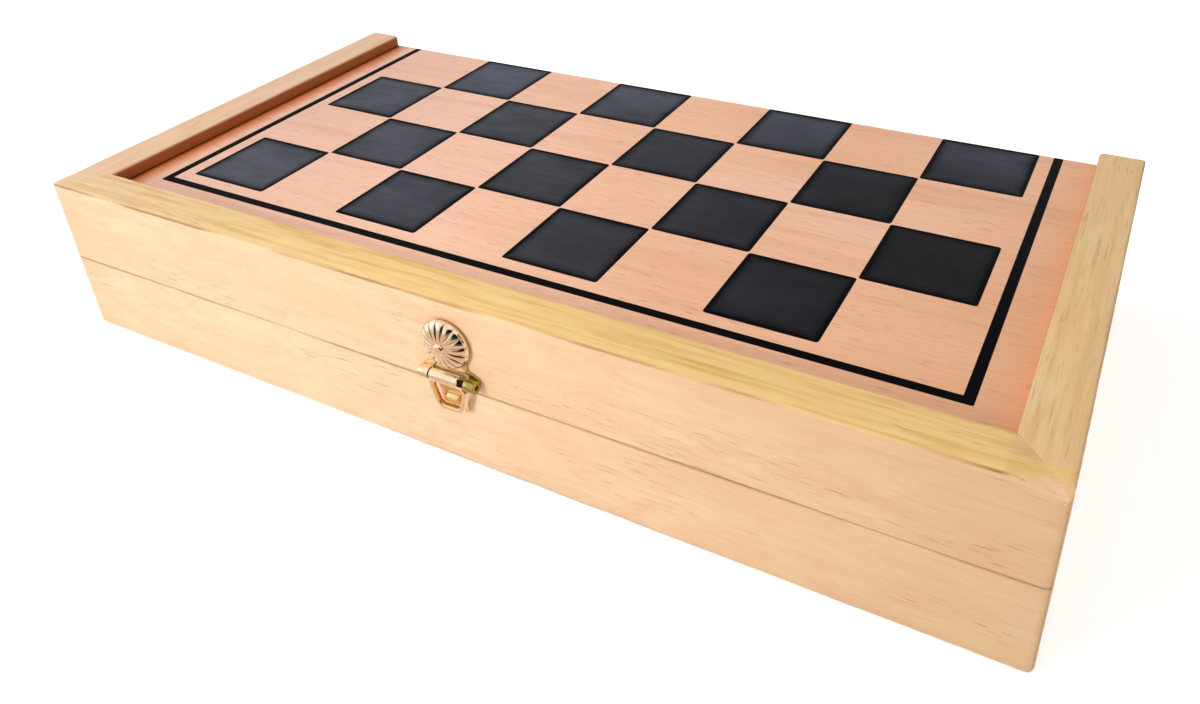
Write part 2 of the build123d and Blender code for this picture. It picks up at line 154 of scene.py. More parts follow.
# Hasp: depths in front of the box, and the right halves of the stirrup's outline and window, as
# millimetres from the seam's middle with the radius that rounds each corner
HASP_MIDDLE = (low("latch_hasp").x + high("latch_hasp").x) / 2
HASP_BACK = 2.25 * MM
HASP_SIDE = 3.0 * MM
HASP_FRONT = 3.75 * MM
HASP_OUTER = ((5.9, 3.6, 0.3), (7.2, 1.9, 0.9), (5.0, -7.4, 3.8))
HASP_WINDOW = ((4.7, 2.7, 0.3), (5.3, 1.2, 0.9), (3.5, -5.4, 1.9))
HASP_ARC_STEPS = 8
HASP_SIDE_STEPS = 6
HASP_ACROSS = 8
HASP_ACROSS_FULLNESS = 0.8
HASP_FRONT_FULLNESS = 0.7
HASP_HOLLOW = ((6, 0.3), (7, 0.8), (8, 1.0), (9, 1.0))  # points across, and how hollow each is
BARREL_OUT = 2.3 * MM
BARREL_RISE = 4.5 * MM
BARREL_RADIUS = 1.95 * MM
BARREL_BORE = 0.9 * MM
BARREL_ROUND = 0.2 * MM
BARREL_END = 4.3 * MM
BARREL_SEGMENTS = 36

# Hinge screws
SCREW_HEAD = 1.85 * MM
SCREW_SHANK = 0.95 * MM
SCREW_LENGTH = 8.9 * MM
SCREW_SINK = 1.0 * MM
SCREW_EDGE = 0.08 * MM
SCREW_SLOT = 0.5 * MM
SLOT_DEPTH = 0.45 * MM
SCREW_SEGMENTS = 28
SLOT_TURN = 35
SLOT_TURN_STEP = 50
NEARLY_FLUSH = -1e-6

# Camera, fitted to the board's squares in the photograph
PHOTO_WIDTH = 1200
PHOTO_HEIGHT = 704
FOCAL_PIXELS = 1000.8
PRINCIPAL_X = 647.8
PRINCIPAL_Y = 205.6
SENSOR_WIDTH = 36
CAMERA_PLACE = (0.1716, -0.2638, 0.2239)
CAMERA_FORWARD = (-0.42308, 0.76242, -0.48961)
CAMERA_RIGHT = (0.88349, 0.46706, -0.03614)
CAMERA_NEAR = 0.01

# Stage
FLOOR_SIZE = 8
FLOOR_DROP = 0.0001
FLOOR_GLOW = 0.65
AMBIENT = 0.34
BUTTON_PLACE = (0.0, -0.09, 0.045)


# Node helpers

def set_inputs(tree, node, inputs):
    """Each input linked to a socket or set to a value."""
    for key, value in inputs.items():
        if isinstance(value, bpy.types.NodeSocket):
            tree.links.new(value, node.inputs[key])
        else:
            node.inputs[key].default_value = value


def add_node(tree, kind, inputs=None, **settings):
    """A node with its settings and its inputs."""
    made = tree.nodes.new(kind)
    for key, value in settings.items():
        setattr(made, key, value)
    set_inputs(tree, made, inputs or {})
    return made


def colour(red, green, blue):
    """A display colour from 0 to 255 as the linear colour that a shader takes."""
    def linear(v):
        v = v / 255
        return v / 12.92 if v <= 0.04045 else ((v + 0.055) / 1.055) ** 2.4

    return (linear(red), linear(green), linear(blue), 1)


def new_material(name, inputs=None):
    """A material, its tree, and its shader with the inputs set."""
    material = bpy.data.materials.new(name)
    material.use_nodes = True
    tree = material.node_tree
    shader = tree.nodes["Principled BSDF"]
    set_inputs(tree, shader, inputs or {})
    return material, tree, shader


def mix_colour(tree, factor, first, second, blend="MIX"):
    inputs = {0: factor, 6: first, 7: second}
    made = add_node(tree, "ShaderNodeMix", inputs, data_type="RGBA", blend_type=blend)
    return made.outputs[2]


def math_node(tree, operation, first, second=0.0, clamp=False):
    inputs = {0: first, 1: second}
    made = add_node(tree, "ShaderNodeMath", inputs, operation=operation, use_clamp=clamp)
    return made.outputs[0]


def times(tree, first, second):
    return math_node(tree, "MULTIPLY", first, second)


def multiplied(tree, base, tone):
    return mix_colour(tree, 1.0, base, tone, "MULTIPLY")


def toned_towards(tree, base, tone, amount, share):
    """base taken towards tone by amount times share."""
    return mix_colour(tree, times(tree, amount, share), base, tone)


def spread(tree, value, from_low, from_high, to_low=0.0, to_high=1.0):
    """value taken from one range to another, and held there."""
    inputs = {"Value": value, 1: from_low, 2: from_high, 3: to_low, 4: to_high}
    return add_node(tree, "ShaderNodeMapRange", inputs).outputs[0]


def noise_spread(tree, value, to_low, to_high):
    """The range that a noise mostly keeps to, taken to another range."""
    return spread(tree, value, 0.3, 0.7, to_low, to_high)


def shaded(tree, base, value, darkest, lightest):
    """base made darker and lighter by a noise."""
    shade = noise_spread(tree, value, darkest, lightest)
    grey = add_node(tree, "ShaderNodeCombineXYZ", {0: shade, 1: shade, 2: shade}).outputs[0]
    return multiplied(tree, base, grey)


def attribute(tree, name):
    return add_node(tree, "ShaderNodeAttribute", attribute_name=name).outputs["Fac"]


def object_place(tree):
    return add_node(tree, "ShaderNodeTexCoord").outputs["Object"]


def object_axes(tree):
    return add_node(tree, "ShaderNodeSeparateXYZ", {0: object_place(tree)}).outputs


def mapped(tree, place, **inputs):
    """place turned, drawn out and moved."""
    return add_node(tree, "ShaderNodeMapping", {"Vector": place, **inputs}).outputs[0]


def noise_value(tree, place, scale, detail, rough, distortion=0.0):
    inputs = {"Vector": place, "Scale": scale, "Detail": detail, "Roughness": rough}
    inputs["Distortion"] = distortion
    return add_node(tree, "ShaderNodeTexNoise", inputs).outputs["Fac"]


def grain_place(tree, along, stretch, shift):
    """Object coordinates turned so that the grain runs along X, and drawn out along it."""
    turn = (0, 0, 0) if along == "X" else (0, 0, math.radians(90))
    turned = mapped(tree, object_place(tree), Location=shift, Rotation=turn)
    return mapped(tree, turned, Scale=(stretch, 1, 1))


def grain_of(tree, along, shift):
    """A function that makes noises drawn out along the grain, each by its own stretch."""
    def grain(stretch, *settings):
        return noise_value(tree, grain_place(tree, along, stretch, shift), *settings)

    return grain


def bump(tree, height, strength, distance, under=None):
    inputs = {"Height": height, "Strength": strength, "Distance": distance}
    if under is not None:
        inputs["Normal"] = under
    return add_node(tree, "ShaderNodeBump", inputs).outputs[0]


def finish_surface(tree, shader, base, rough, normal):
    set_inputs(tree, shader, {"Base Color": base, "Roughness": rough, "Normal": normal})


# Materials

FACE = colour(249, 213, 173)
BASE_FACE = colour(250, 216, 177)
RIGHT_FACE = colour(236, 196, 146)
RIM_YELLOW = colour(248, 212, 144)
LEFT_RIM = colour(226, 190, 160)
RIGHT_RIM = colour(238, 203, 150)
CORNER_YELLOW = colour(240, 202, 132)


def frame_wood(name, along, shift, pith, face, rim, strands=0.3, pores=0.44, dash=0.07):
    """Pale lacquered hardwood: faint rings round a far pith, brown pore dashes and fine fibre.

    The rim's top is yellower than the faces, its inner wall is painted dark brown, painted shade
    together with a brown stain, and its arrises are worn to a broken brown line. By the near right
    corner the yellow thins to a strip.
    """
    material, tree, shader = new_material(name, {"IOR": LACQUER_IOR})
    grain = grain_of(tree, along, shift)
    streak = colour(188, 140, 70)
    pore = colour(146, 104, 56)
    # Painted shade with a brown stain: the dark brown of the inner walls stands for their shade
    shade_and_stain = colour(160, 80, 20)
    arris_brown = colour(142, 102, 40)
    yellow_strand = colour(200, 162, 66)
    tan_strand = colour(216, 154, 88)

    rings = {
        "Vector": mapped(tree, grain_place(tree, along, 0.10, shift), Location=(0, *pith)),
        "Scale": 46.0,
        "Distortion": 5.0,
        "Detail": 3.0,
        "Detail Scale": 3.2,
        "Detail Roughness": 0.55,
    }
    kind = {"wave_type": "RINGS", "rings_direction": "X", "wave_profile": "SAW"}
    ringed = add_node(tree, "ShaderNodeTexWave", rings, **kind).outputs["Fac"]
    late = spread(tree, ringed, 0.72, 1.0)
    blotch = grain(0.35, 34, 3, 0.55)
    mottle = grain(0.28, 190, 5, 0.65, 0.6)
    drawn = grain(0.05, 420, 3, 0.6)
    hue = grain(0.3, 55, 2, 0.5)
    fibre = grain(0.03, 1500, 3, 0.6)
    dashes = grain(dash, 1700, 2, 0.5, 0.4)
    where = grain(0.3, 60, 2, 0.5)

    top = attribute(tree, "rim_top")
    across, deep, _ = object_axes(tree)
    if along == "X":
        greyer = multiplied(tree, rim, (0.80, 0.88, 1.22, 1))
        rim = mix_colour(tree, spread(tree, across, 0.9 * LEFT, 0.1 * LEFT), greyer, rim)
        tanner = multiplied(tree, face, (0.95, 0.915, 0.83, 1))
        face = mix_colour(tree, spread(tree, across, 0.1 * RIGHT, 0.8 * RIGHT), face, tanner)
    slant = math_node(tree, "SUBTRACT", deep, times(tree, across, STRIP_SLANT))
    strip_end = FRONT + STRIP_WIDTH - STRIP_SLANT * (RIGHT - WALL)
    beyond = spread(tree, slant, strip_end - 0.4 * MM, strip_end + 0.6 * MM)
    corner = mix_colour(tree, beyond, CORNER_YELLOW, RIGHT_RIM)
    near_corner = spread(tree, across, RIGHT - WALL - 0.8 * MM, RIGHT - WALL + 0.4 * MM)
    rim = mix_colour(tree, near_corner, rim, corner)

    base = mix_colour(tree, top, face, rim)
    warm = multiplied(tree, base, (0.93, 0.86, 0.76, 1))
    pinker = multiplied(tree, base, (0.96, 0.86, 0.82, 1))
    base = mix_colour(tree, spread(tree, blotch, 0.40, 0.66, 0.0, 0.8), base, warm)
    base = mix_colour(tree, spread(tree, mottle, 0.40, 0.62), base, pinker)
    strand = mix_colour(tree, spread(tree, hue, 0.42, 0.58), yellow_strand, tan_strand)
    base = toned_towards(tree, base, strand, spread(tree, drawn, 0.46, 0.70, 0.0, strands), top)
    base = toned_towards(tree, base, streak, late, 0.05)
    marks = times(
        tree, spread(tree, dashes, 0.60, 0.74), spread(tree, where, pores, pores + 0.18)
    )
    base = toned_towards(tree, base, pore, marks, 0.5)
    wear_and_sheen = times(tree, attribute(tree, "arris"), spread(tree, where, 0.40, 0.56))
    base = toned_towards(tree, base, arris_brown, wear_and_sheen, 0.9)
    # Painted shade: the inner walls are darkened to brown, together with a stain
    base = toned_towards(tree, base, shade_and_stain, attribute(tree, "inner_wall"), 0.95)
    base = shaded(tree, base, fibre, 0.97, 1.03)

    coarse = bump(tree, late, 0.05, 0.05 * MM)
    fine = bump(tree, fibre, 0.2, 0.03 * MM, coarse)
    pits = bump(tree, math_node(tree, "SUBTRACT", 1.0, marks), 0.5, 0.08 * MM, fine)
    finish_surface(tree, shader, base, noise_spread(tree, fibre, 0.42, 0.54), pits)
    return material


def panel_wood(name, shift):
    """Salmon plywood face, paler pink to the left as a painted reflection: fine fibre, short pore
    dashes along X.
    """
    material, tree, shader = new_material(name, {"IOR": LACQUER_IOR})
    grain = grain_of(tree, "X", shift)
    pink = colour(228, 180, 157)
    rosy = colour(250, 198, 168)
    orange = colour(236, 176, 134)
    deep = colour(214, 146, 104)
    pore = colour(150, 88, 56)
    # Painted shadow: the orange-brown band by the left rail stands for its cast shadow, with a
    # pooled stain
    shade_and_stain = colour(196, 106, 40)
    # Painted shade: a dark contact line at the left rail's foot
    line = colour(84, 22, 8)
    margin = colour(255, 182, 116)

    across, _, height = object_axes(tree)
    from_seam = math_node(tree, "ABSOLUTE", math_node(tree, "SUBTRACT", height, MIDDLE))
    outside = spread(tree, from_seam, MIDDLE - RIM - 0.6 * PANEL, MIDDLE - RIM - 0.4 * PANEL)
    bands = grain(0.06, 130, 4, 0.55, 0.4)
    blotch = grain(0.5, 16, 2, 0.5)
    fibre = grain(0.025, 1300, 3, 0.6)
    marks = spread(tree, grain(0.10, 1500, 1, 0.4), 0.62, 0.74)

    drift = math_node(tree, "ADD", spread(tree, across, LEFT, RIGHT, -0.1, 0.8), blotch)
    # Painted reflection: the paler pink towards the left stands for the sheen there, turning
    # orange to the right
    base = mix_colour(tree, spread(tree, across, 0.8 * LEFT, 0.1 * LEFT), pink, rosy)
    base = mix_colour(tree, spread(tree, drift, 0.7, 1.25), base, orange)
    base = toned_towards(tree, base, deep, spread(tree, bands, 0.5, 0.72), 0.42)
    base = toned_towards(tree, base, pore, marks, 0.34)
    left_end = LEFT + WALL
    right_end = RIGHT - WALL
    # By the left rail a painted shadow with a pooled stain and a painted contact shadow at its
    # foot; by the right rail an orange stain
    for tone, start, end, most in (
        (shade_and_stain, left_end + SHADE_AND_STAIN_BAND, left_end + 0.4 * SHADE_AND_STAIN_BAND, 0.9),
        (line, left_end + 1.4 * MM, left_end + 0.4 * MM, 1.0),
        (margin, right_end - SHADE_AND_STAIN_BAND, right_end, 0.5),
    ):
        base = toned_towards(tree, base, tone, spread(tree, across, start, end, 0.0, most), outside)
    base = shaded(tree, base, fibre, 0.94, 1.05)

    fine = bump(tree, fibre, 0.22, 0.03 * MM)
    pits = bump(tree, math_node(tree, "SUBTRACT", 1.0, marks), 0.4, 0.06 * MM, fine)
    finish_surface(tree, shader, base, noise_spread(tree, fibre, 0.34, 0.48), pits)
    return material


def board_ink():
    """Printed ink: black at a square's edges, lighter in its middle, greyer to the left as a
    painted reflection, and greyer at the back.
    """
    material, tree, shader = new_material("board_ink", {"IOR": INK_IOR})
    grain = grain_of(tree, "X", (0, 0, 0))
    wear_and_sheen = colour(90, 92, 101)
    thin = colour(36, 34, 38)
    far_grey = colour(104, 108, 124)
    full = colour(2, 2, 4)
    across, deep, _ = object_axes(tree)
    fibre = grain(0.03, 1300, 3, 0.6)
    cloud = grain(0.6, 70, 3, 0.6)
    # Painted reflection: the grey middles of the squares towards the left stand for the sheen
    # there
    centre = mix_colour(tree, spread(tree, across, LEFT, 0.6 * RIGHT), wear_and_sheen, thin)
    far = spread(tree, deep, BACK - 1.3 * SQUARE, BACK - 0.3 * SQUARE, 0.0, 0.35)
    centre = mix_colour(tree, far, centre, far_grey)
    uneven = spread(tree, cloud, 0.4, 0.7, 0.0, 0.3)
    cover = math_node(tree, "ADD", attribute(tree, "ink_edge"), uneven, True)
    base = shaded(tree, mix_colour(tree, cover, centre, full), fibre, 0.85, 1.12)
    rough = noise_spread(tree, fibre, 0.36, 0.5)
    finish_surface(tree, shader, base, rough, bump(tree, fibre, 0.2, 0.03 * MM))
    return material


def brass(name, bright, dull, polish, age, deep=(238, 186, 74), green_from=None):
    """Pressed brass: bright metal, dull where the polish doesn't reach, with fine scratches.

    The attribute hollow is for grooves and inner faces, which are of the deep colour. Right of
    green_from the metal turns a yellow green.
    """
    material, tree, shader = new_material(name, {"Metallic": 1.0})
    place = object_place(tree)
    cloud = noise_value(tree, place, 260, 3, 0.6)
    speck = noise_value(tree, place, 2600, 2, 0.6)
    scratched = mapped(tree, place, Rotation=(0.3, 0.5, 0.4), Scale=(1, 0.05, 1))
    scratch = noise_value(tree, scratched, 5200, 2, 0.5)
    base = toned_towards(tree, colour(*bright), colour(*dull), spread(tree, cloud, 0.35, 0.75), age)
    base = mix_colour(tree, attribute(tree, "hollow"), base, colour(*deep))
    if green_from is not None:
        across = object_axes(tree)[0]
        green = spread(tree, across, green_from, green_from + 3 * MM, 0.0, 0.85)
        base = mix_colour(tree, green, base, colour(164, 152, 58))
    smooth = noise_spread(tree, cloud, polish, polish + 0.12)
    rough = math_node(tree, "ADD", smooth, spread(tree, speck, 0.5, 0.8, 0.0, 0.08))
    finish_surface(tree, shader, base, rough, bump(tree, scratch, 0.12, 0.02 * MM))
    return material


def man_wood(name, pale, deep):
    """Turned, lacquered wood of the men: grain along the man."""
    material, tree, shader = new_material(name, {"Coat Weight": 0.4, "Coat Roughness": 0.12})
    along = mapped(tree, object_place(tree), Scale=(1, 1, 0.06))
    bands = noise_value(tree, along, 420, 3, 0.6)
    fibre = noise_value(tree, along, 2400, 2, 0.6)
    base = mix_colour(tree, spread(tree, bands, 0.36, 0.66), colour(*pale), colour(*deep))
    rough = noise_spread(tree, fibre, 0.22, 0.34)
    finish_surface(tree, shader, base, rough, bump(tree, fibre, 0.15, 0.03 * MM))
    return material


front_wood = frame_wood(
    "front_wood", "X", (0.13, 0.07, 0.02), (0.060, 0.115), FACE, RIM_YELLOW, strands=0.75
)
base_front_wood = frame_wood(
    "base_front_wood",
    "X",
    (0.71, 0.03, 0.05),
    (0.085, 0.150),
    BASE_FACE,
    RIM_YELLOW,
    strands=0.75,
)
left_wood = frame_wood("left_wood", "Y", (0.37, 0.05, 0.11), (0.045, 0.095), FACE, LEFT_RIM)
right_wood = frame_wood(
    "right_wood",
    "Y",
    (0.61, 0.15, 0.21),
    (0.045, 0.095),
    RIGHT_FACE,
    RIGHT_RIM,
    strands=0.35,
    pores=0.26,
    dash=0.05,
)
back_wood = frame_wood("back_wood", "X", (0.53, 0.19, 0.07), (0.075, 0.060), FACE, FACE)
lid_panel_wood = panel_wood("lid_panel_wood", (0.05, 0.02, 0))
base_panel_wood = panel_wood("base_panel_wood", (0.45, 0.31, 0))
ink = board_ink()
latch_brass = brass("latch_brass", (252, 236, 208), (214, 172, 118), 0.08, 0.3)
green_start = HASP_MIDDLE + BARREL_END
plate_brass = brass(
    "plate_brass", (250, 230, 190), (204, 158, 98), 0.12, 0.5, green_from=green_start
)
rosette_brass = brass(
    "rosette_brass", (252, 236, 210), (206, 164, 112), 0.08, 0.4, deep=(128, 92, 44)
)
catch_brass = brass("catch_brass", (252, 222, 170), (222, 172, 92), 0.2, 0.7)
pin_brass = brass("pin_brass", (92, 50, 26), (46, 22, 12), 0.3, 0.8)
hinge_brass = brass("hinge_brass", (246, 222, 172), (196, 150, 78), 0.22, 0.8)
light_wood = man_wood("light_man_wood", (234, 192, 138), (206, 154, 98))
dark_wood = man_wood("dark_man_wood", (62, 34, 22), (34, 17, 11))


# Mesh helpers

def new_object(name, data):
    made = bpy.data.objects.new(name, data)
    scene.collection.objects.link(made)
    return made


def mesh_of(bm, name, smooth_angle):
    """The bmesh as a mesh, smooth but for its edges sharper than the angle."""
    bmesh.ops.recalc_face_normals(bm, faces=bm.faces)
    mesh = bpy.data.meshes.new(name)
    bm.to_mesh(mesh)
    bm.free()
    mesh.shade_smooth()
    mesh.set_sharp_from_angle(angle=math.radians(smooth_angle))
    return mesh


def finish_mesh(bm, name, body, material, replaced, smooth_angle=35):
    """The bmesh as a piece that rides on a body and takes the place of CAD nodes."""
    mesh = mesh_of(bm, name, smooth_angle)
    mesh.materials.append(material)
    piece = new_object(name, mesh)
    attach(piece, body)
    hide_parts(*replaced)


def dress(name, material, width, segments=2, angle=25):
    """A CAD node keeps its shape, with eased edges and a material."""
    node = nodes[name]
    node.data.materials.clear()
    node.data.materials.append(material)
    weld = node.modifiers.new("weld", "WELD")
    weld.merge_threshold = WELD_REACH
    flat = node.modifiers.new("flat", "DECIMATE")
    flat.decimate_type = "DISSOLVE"
    flat.angle_limit = math.radians(FLAT_ANGLE)
    if width:
        ease = node.modifiers.new("ease", "BEVEL")
        ease.width = width
        ease.segments = segments
        ease.limit_method = "ANGLE"
        ease.angle_limit = math.radians(angle)
        ease.harden_normals = True


def scaled(rows):
    """Rows given in millimetres, in metres."""
    return [tuple(value * MM for value in row) for row in rows]


def arc(centre, radius, start, end, steps):
    """Points on an arc in a plane, angles in degrees."""
    angles = [math.radians(start + (end - start) * i / steps) for i in range(steps + 1)]
    return [
        (centre[0] + radius * math.cos(angle), centre[1] + radius * math.sin(angle))
        for angle in angles
    ]


def on_ring(radius, angle, rise):
    return Vector((radius * math.cos(angle), radius * math.sin(angle), rise))


def bridge(bm, a, b):
    """Faces between two closed rings of as many vertices."""
    for i in range(len(a)):
        j = (i + 1) % len(a)
        bm.faces.new((a[i], a[j], b[j], b[i]))


def draw_out(bm, faces, offset):
    """Faces extruded by an offset."""
    made = bmesh.ops.extrude_face_region(bm, geom=faces)["geom"]
    moved = [part for part in made if isinstance(part, bmesh.types.BMVert)]
    bmesh.ops.translate(bm, verts=moved, vec=offset)


def lathe(profile, segments, matrix=Matrix.Identity(4), bm=None):
    """A turned body from (radius, rise) pairs about local Z, placed by matrix."""
    bm = bm or bmesh.new()
    rows = []
    for radius, rise in profile:
        if radius == 0:
            places = [Vector((0, 0, rise))]
        else:
            places = [
                on_ring(radius, 2 * math.pi * i / segments, rise) for i in range(segments)
            ]
        rows.append([bm.verts.new(matrix @ place) for place in places])
    for a, b in zip(rows, rows[1:]):
        for i in range(segments):
            j = (i + 1) % segments
            if len(a) == 1:
                bm.faces.new((a[0], b[i], b[j]))
            elif len(b) == 1:
                bm.faces.new((a[i], b[0], a[j]))
            else:
                bm.faces.new((a[i], b[i], b[j], a[j]))
    for row in (rows[0], rows[-1]):
        if len(row) > 1:
            bm.faces.new(row)
    return bm


def head_profile(radius, base, rows):
    """Profile points from shares of a radius and from millimetres above a base."""
    return [(radius * share, base + rise * MM) for share, rise in rows]


# Rails

# How far a section's point counts as worn, as the rim's top, as its inner wall and as an arris
PLAIN = (0.0, 0.0, 0.0, 0.0)
RIM_TOP = (1.0, 1.0, 0.0, 0.0)
INNER_WALL = (0.0, 0.0, 1.0, 0.0)
SEAM_EDGE = (0.6, 0.0, 0.0, 0.45)


def rail_section(outer_round):
    """A rail's section from its outer rim edge, inwards, round the groove and back by the seam.

    Each point is its depth from the outer face, its height and its four tones.
    """
    r = outer_round
    section = []
    for i, (u, z) in enumerate(arc((r, r), r, 180, 270, SECTION_STEPS)):
        share = i / SECTION_STEPS
        section.append((u, z, 1.0, share**2, 0.0, math.sin(math.pi * share) ** 2))
    section += [(3 * r, 0.0, *RIM_TOP), (6 * r, 0.0, *RIM_TOP)]
    r = RIM_ROUND
    for i, (u, z) in enumerate(arc((WALL - r, r), r, 270, 360, SECTION_STEPS)):
        share = i / SECTION_STEPS
        section.append((u, z, 1.0, 1.0 - share, share**2, 0.0))
    groove = WALL - GROOVE_DEPTH
    low_side = RIM - GROOVE_FIT
    high_side = RIM + PANEL + GROOVE_FIT
    section += [
        (WALL, low_side, *INNER_WALL),
        (groove, low_side, *INNER_WALL),
        (groove, high_side, *PLAIN),
        (WALL, high_side, *PLAIN),
        (WALL, SEAM_LOW, *PLAIN),
    ]
    s = SEAM_ROUND
    section += [(u, z, *SEAM_EDGE) for u, z in arc((s, SEAM_LOW - s), s, 90, 180, SEAM_STEPS)]
    section += [(0.0, SEAM_LOW - 3 * s, *PLAIN), (0.0, 8 * r, *PLAIN)]
    return section


def corner_depth(distance):
    """How deep the rounded upright corner lies below a rail's face, this far from the corner."""
    if distance >= CORNER_ROUND:
        return 0.0
    return CORNER_ROUND - math.sqrt(CORNER_ROUND**2 - (CORNER_ROUND - distance) ** 2)


def corner_share(depth):
    """How much of the corner's rounding a point at this depth follows."""
    return max(0.0, 1 - depth / (2 * CORNER_ROUND))


def mitre_end(depth):
    """Where a rail's line at this depth meets the mitre, with the corner rounded."""
    end = max(depth, CORNER_ROUND * (1 - math.sqrt(0.5)))
    for _ in range(MITRE_ROUNDS):
        end = depth + corner_depth(end) * corner_share(depth)
    return end


def stations(length):
    """Places along a rail, close together at its ends, where the corners are rounded."""
    near = [step * MM for step in END_STATIONS]
    between = length - 2 * near[-1]
    count = round(between / STATION)
    middle = [near[-1] + between * i / count for i in range(1, count)]
    return near + middle + [length - step for step in reversed(near)]


def sanded(place):
    """How far the lid's near right corner is worn down, at a place in plan."""
    along = (place.x - RIGHT + SANDED_LENGTH) / (SANDED_RAMP * SANDED_LENGTH)
    near = min(1.0, max(0.0, along))
    share = near * near * (3 - 2 * near)
    back = (place.y - FRONT) / SANDED_DEPTH
    if share < SANDED_LEAST or back >= share:
        return 0.0
    return SANDED_HEIGHT * share * (1 - math.sqrt(1 - (1 - max(0.0, back) / share) ** 2))


def rail(name, start, run, inward, mitred, is_lid, material, seed):
    """A rail along run from start, with its worn edges. mitred says it of its two ends."""
    section = rail_section(RIM_ROUND if is_lid else FOOT_ROUND)
    length = run.length
    along = run.normalized()
    bm = bmesh.new()
    layers = [bm.loops.layers.float.new(key) for key in ("rim_top", "inner_wall", "arris")]
    rows = []
    tones_at = {}
    for station in stations(length):
        row = []
        for depth, height, wear, *tones in section:
            cut = [mitre_end(depth) + MITRE_GAP if mitre else 0.0 for mitre in mitred]
            at = cut[0] + (length - cut[0] - cut[1]) * station / length
            rounding = sum(
                corner_depth(far) for far, mitre in zip((at, length - at), mitred) if mitre
            )
            sunk = depth + rounding * corner_share(depth)
            place = start + along * at + inward * sunk + Vector((0, 0, height))
            if wear:
                sample = place / WEAR_LENGTH + Vector((seed, 0, 0))
                fine = FINE_WEAR * noise.noise(sample * FINE_WEAR_SCALE)
                dent = max(0.0, noise.noise(sample) + fine)
                rim_point = Vector((0, 0, 1)) * (1 if height < SEAM_LOW / 2 else -1)
                side = inward if depth < WALL / 2 else -inward
                place += (rim_point + side) * (EDGE_WEAR * wear * dent)
            if is_lid:
                lost = sanded(place)
                if lost > place.z:
                    place.z = lost
                    kept = max(0.0, 1 - lost / SANDED_TONES)
                    tones = [tone * kept for tone in tones]
                place.z = 2 * MIDDLE - place.z
            vert = bm.verts.new(place)
            tones_at[vert] = tones
            row.append(vert)
        rows.append(row)
    for a, b in zip(rows, rows[1:]):
        bridge(bm, a, b)
    for face in bm.faces:
        for loop in face.loops:
            for layer, tone in zip(layers, tones_at[loop.vert]):
                loop[layer] = tone
    caps = [bm.faces.new(rows[0]), bm.faces.new(rows[-1][::-1])]
    for cap, mitre in zip(caps, mitred):
        if not mitre:
            edges = list(cap.edges)
            bmesh.ops.bevel(
                bm, geom=edges, offset=END_ROUND, segments=2, affect="EDGES", profile=0.6
            )
    body = "lid" if is_lid else "base"
    finish_mesh(bm, name + "_wood", body, material, (name,), smooth_angle=30)


NEAR_LEFT = Vector((LEFT, FRONT, 0))
NEAR_RIGHT = Vector((RIGHT, FRONT, 0))
LENGTHWAYS = Vector((RIGHT - LEFT, 0, 0))
BACKWARDS = Vector((0, BACK - FRONT, 0))

for is_lid, body, facing in ((False, "base", base_front_wood), (True, "lid", front_wood)):
    for side, start, run, inward, mitred, material, seed in (
        ("front", NEAR_LEFT, LENGTHWAYS, (0, 1, 0), (True, True), facing, 3.1),
        ("left", NEAR_LEFT, BACKWARDS, (1, 0, 0), (True, False), left_wood, 7.7),
        ("right", NEAR_RIGHT, BACKWARDS, (-1, 0, 0), (True, False), right_wood, 11.3),
    ):
        name = f"{body}_{side}_rail"
        rail(name, start, run, Vector(inward), mitred, is_lid, material, seed + is_lid)
    dress(body + "_back_rail", back_wood, BACK_RAIL_ROUND, angle=40)

dress("lid_panel", lid_panel_wood, 0)
dress("base_panel", base_panel_wood, 0)


# Board print

def rounded_square(centre, half, radius):
    """Corner points of a square with rounded corners, in plan."""
    points = []
    for sx, sy, start in ((1, 1, 0), (-1, 1, 90), (-1, -1, 180), (1, -1, 270)):
        corner = (centre[0] + sx * (half - radius), centre[1] + sy * (half - radius))
        points += arc(corner, radius, start, start + 90, PRINT_STEPS)
    return points


def board_print(name, body, first_dark, height, up):
    """Half a board as a film of ink: dark squares with dense edges, a line round three sides."""
    board_left = -COLUMNS * SQUARE / 2
    board_front = BACK - ROWS * SQUARE
    bm = bmesh.new()
    edge_layer = bm.verts.layers.float.new("ink_edge")

    def ring(points, edge):
        made = [bm.verts.new((x, y, height)) for x, y in points]
        for v in made:
            v[edge_layer] = edge
        return made

    half = SQUARE / 2 - SQUARE_TRIM
    for row in range(ROWS):
        for column in range((row + first_dark) % 2, COLUMNS, 2):
            centre = (board_left + (column + 0.5) * SQUARE, board_front + (row + 0.5) * SQUARE)
            rings = []
            for share, edge in INK_RINGS:
                inset = share * INK_EDGE
                radius = max(SQUARE_INNER_ROUND, SQUARE_ROUND - inset)
                rings.append(ring(rounded_square(centre, half - inset, radius), edge))
            for a, b in zip(rings, rings[1:]):
                bridge(bm, a, b)
            bm.faces.new(rings[-1])
    inner = COLUMNS * SQUARE / 2 + LINE_GAP
    outer = inner + LINE_WIDTH
    front = board_front - LINE_GAP
    turn = outer - LINE_ROUND
    turn_front = front - LINE_WIDTH + LINE_ROUND
    inside = [(-inner, BACK), (-inner, front), (inner, front), (inner, BACK)]
    outside = (
        [(-outer, BACK)]
        + arc((-turn, turn_front), LINE_ROUND, 180, 270, PRINT_STEPS)
        + arc((turn, turn_front), LINE_ROUND, 270, 360, PRINT_STEPS)
        + [(outer, BACK)]
    )
    bm.faces.new(ring(inside + outside[::-1], 1.0))
    bmesh.ops.triangulate(bm, faces=[f for f in bm.faces if len(f.verts) > 4])
    draw_out(bm, list(bm.faces), (0, 0, up * INK_LIFT))
    finish_mesh(bm, name + "_ink", body, ink, (name,))


